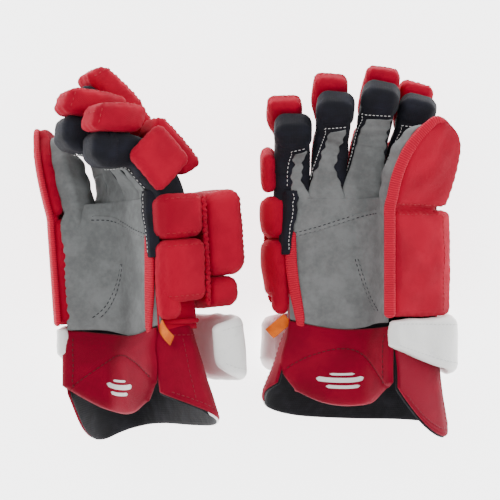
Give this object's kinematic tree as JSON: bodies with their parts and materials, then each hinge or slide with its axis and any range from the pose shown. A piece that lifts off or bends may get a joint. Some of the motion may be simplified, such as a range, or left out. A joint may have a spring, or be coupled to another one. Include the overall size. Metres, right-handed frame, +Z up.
{
  "type": "ice hockey gloves",
  "caption": "Pair of padded ice hockey gloves with jointed foam finger rolls, a stiff thumb, a flared cuff and a wrist flap, lying palms up.",
  "frame": {"origin": "on the table, under the middle of the pair", "axes": "+Z up from the table, +Y towards the fingertips, +X towards the thumb side of the right glove, which lies on its back"},
  "size_m": [0.4064, 0.3656, 0.2126],
  "materials": {
    "red_shell": "woven nylon",
    "crimson_cuff": "woven nylon, darker",
    "grey_suede": "mottled suede",
    "black_nylon": "matte stretch nylon",
    "black_lining": "matte brushed lining",
    "white_band": "soft, lightly creased",
    "insert_plastic": "plain"
  },
  "bodies": {
    "right_hand": {"right_hand_lining": "black_lining", "right_palm": "grey_suede", "right_back_block": "red_shell", "right_back_insert": "insert_plastic", "right_lower_roll": "red_shell", "right_side_rolls": "red_shell", "right_thumb_block": "red_shell"},
    "right_thumb": {"right_thumb_shell": "red_shell", "right_thumb_insert": "insert_plastic", "right_thumb_stall": "grey_suede"},
    "right_cuff": {"right_cuff_shell": "crimson_cuff", "right_cuff_lining": "black_lining", "right_wrist_roll": "white_band"},
    "right_flap": {"right_cuff_flap": "crimson_cuff"},
    "right_little": {"right_little_stall": "grey_suede", "right_little_knuckle_roll": "red_shell"},
    "right_little_end": {"right_little_tip_cap": "black_nylon", "right_little_tip_roll": "red_shell"},
    "right_ring": {"right_ring_stall": "grey_suede", "right_ring_knuckle_roll": "red_shell"},
    "right_ring_end": {"right_ring_tip_cap": "black_nylon", "right_ring_tip_roll": "red_shell"},
    "right_middle": {"right_middle_stall": "grey_suede", "right_middle_knuckle_roll": "red_shell"},
    "right_middle_end": {"right_middle_tip_cap": "black_nylon", "right_middle_tip_roll": "red_shell"},
    "right_index": {"right_index_stall": "grey_suede", "right_index_knuckle_roll": "red_shell"},
    "right_index_end": {"right_index_tip_cap": "black_nylon", "right_index_tip_roll": "red_shell"},
    "left_hand": {"left_hand_lining": "black_lining", "left_palm": "grey_suede", "left_back_block": "red_shell", "left_back_insert": "insert_plastic", "left_lower_roll": "red_shell", "left_side_rolls": "red_shell", "left_thumb_block": "red_shell"},
    "left_thumb": {"left_thumb_shell": "red_shell", "left_thumb_insert": "insert_plastic", "left_thumb_stall": "grey_suede"},
    "left_cuff": {"left_cuff_shell": "crimson_cuff", "left_cuff_lining": "black_lining", "left_wrist_roll": "white_band"},
    "left_flap": {"left_cuff_flap": "crimson_cuff"},
    "left_little": {"left_little_stall": "grey_suede", "left_little_knuckle_roll": "red_shell"},
    "left_little_end": {"left_little_tip_cap": "black_nylon", "left_little_tip_roll": "red_shell"},
    "left_ring": {"left_ring_stall": "grey_suede", "left_ring_knuckle_roll": "red_shell"},
    "left_ring_end": {"left_ring_tip_cap": "black_nylon", "left_ring_tip_roll": "red_shell"},
    "left_middle": {"left_middle_stall": "grey_suede", "left_middle_knuckle_roll": "red_shell"},
    "left_middle_end": {"left_middle_tip_cap": "black_nylon", "left_middle_tip_roll": "red_shell"},
    "left_index": {"left_index_stall": "grey_suede", "left_index_knuckle_roll": "red_shell"},
    "left_index_end": {"left_index_tip_cap": "black_nylon", "left_index_tip_roll": "red_shell"}
  },
  "joints": [
    {"name": "right_little_knuckle", "type": "hinge", "parent": "right_hand", "child": "right_little", "pos_m": [0.04623, 0.05724, 0.084], "axis": [0.9998, 0.0175, 0], "range_deg": [-8, 30]},
    {"name": "right_little_middle_joint", "type": "hinge", "parent": "right_little", "child": "right_little_end", "pos_m": [0.04566, 0.08991, 0.09337], "axis": [0.9998, 0.0175, 0], "range_deg": [-8, 40]},
    {"name": "right_ring_knuckle", "type": "hinge", "parent": "right_hand", "child": "right_ring", "pos_m": [0.07973, 0.06123, 0.084], "axis": [0.9976, -0.0698, 0], "range_deg": [-8, 30]},
    {"name": "right_ring_middle_joint", "type": "hinge", "parent": "right_ring", "child": "right_ring_end", "pos_m": [0.08271, 0.10382, 0.09465], "axis": [0.9976, -0.0698, 0], "range_deg": [-8, 40]},
    {"name": "right_middle_knuckle", "type": "hinge", "parent": "right_hand", "child": "right_middle", "pos_m": [0.11323, 0.06424, 0.084], "axis": [0.9848, -0.1736, 0], "range_deg": [-8, 7]},
    {"name": "right_middle_middle_joint", "type": "hinge", "parent": "right_middle", "child": "right_middle_end", "pos_m": [0.12161, 0.11176, 0.09251], "axis": [0.9848, -0.1736, 0], "range_deg": [-8, 8]},
    {"name": "right_index_knuckle", "type": "hinge", "parent": "right_hand", "child": "right_index", "pos_m": [0.14673, 0.06123, 0.08], "axis": [0.9744, -0.225, 0], "range_deg": [-8, 9]},
    {"name": "right_index_middle_joint", "type": "hinge", "parent": "right_index", "child": "right_index_end", "pos_m": [0.15635, 0.1029, 0.0845], "axis": [0.9744, -0.225, 0], "range_deg": [-8, 9]},
    {"name": "right_thumb_joint", "type": "hinge", "parent": "right_hand", "child": "right_thumb", "pos_m": [0.1615, 0.04224, 0.13037], "axis": [0.809, 0, -0.5878], "range_deg": [-2, 18]},
    {"name": "right_cuff_hinge", "type": "hinge", "parent": "right_hand", "child": "right_cuff", "pos_m": [0.10123, -0.06577, 0.066], "axis": [1, 0, 0], "range_deg": [-2, 8]},
    {"name": "right_flap_hinge", "type": "hinge", "parent": "right_hand", "child": "right_flap", "pos_m": [0.10123, -0.06577, 0.092], "axis": [-1, 0, 0], "range_deg": [-8, 25]},
    {"name": "left_little_knuckle", "type": "hinge", "parent": "left_hand", "child": "left_little", "pos_m": [-0.08605, 0.05498, 0.16697], "axis": [0.4994, 0.0262, 0.866], "range_deg": [-8, 20]},
    {"name": "left_little_middle_joint", "type": "hinge", "parent": "left_little", "child": "left_little_end", "pos_m": [-0.10663, 0.07965, 0.17809], "axis": [0.4994, 0.0262, 0.866], "range_deg": [-8, 30]},
    {"name": "left_ring_knuckle", "type": "hinge", "parent": "left_hand", "child": "left_ring", "pos_m": [-0.10304, 0.0578, 0.13795], "axis": [0.496, 0.0697, 0.8655], "range_deg": [-8, 20]},
    {"name": "left_ring_middle_joint", "type": "hinge", "parent": "left_ring", "child": "left_ring_end", "pos_m": [-0.12848, 0.09168, 0.14981], "axis": [0.496, 0.0697, 0.8655], "range_deg": [-8, 30]},
    {"name": "left_middle_knuckle", "type": "hinge", "parent": "left_hand", "child": "left_middle", "pos_m": [-0.11995, 0.05962, 0.10894], "axis": [0.4908, 0.1217, 0.8627], "range_deg": [-8, 4]},
    {"name": "left_middle_middle_joint", "type": "hinge", "parent": "left_middle", "child": "left_middle_end", "pos_m": [-0.13557, 0.10601, 0.11128], "axis": [0.4908, 0.1217, 0.8627], "range_deg": [-8, 4]},
    {"name": "left_index_knuckle", "type": "hinge", "parent": "left_hand", "child": "left_index", "pos_m": [-0.133, 0.05571, 0.07793], "axis": [0.4877, 0.1476, 0.8605], "range_deg": [-8, 4]},
    {"name": "left_index_middle_joint", "type": "hinge", "parent": "left_index", "child": "left_index_end", "pos_m": [-0.14352, 0.09738, 0.07675], "axis": [0.4877, 0.1476, 0.8605], "range_deg": [-8, 6]},
    {"name": "left_thumb_joint", "type": "hinge", "parent": "left_hand", "child": "left_thumb", "pos_m": [-0.18255, 0.03319, 0.09032], "axis": [-0.1043, -0.0073, 0.9945], "range_deg": [0, 18]},
    {"name": "left_cuff_hinge", "type": "hinge", "parent": "left_hand", "child": "left_cuff", "pos_m": [-0.08935, -0.06855, 0.11034], "axis": [0.4988, 0.0349, 0.866], "range_deg": [-2, 8]},
    {"name": "left_flap_hinge", "type": "hinge", "parent": "left_hand", "child": "left_flap", "pos_m": [-0.11181, -0.07012, 0.12334], "axis": [-0.4988, -0.0349, -0.866], "range_deg": [-8, 25]},
    {"name": "left_glove_lift", "type": "slide", "parent": "right_hand", "child": "left_hand", "axis": [0, 0, 1], "range_m": [0, 0.25]}
  ]
}
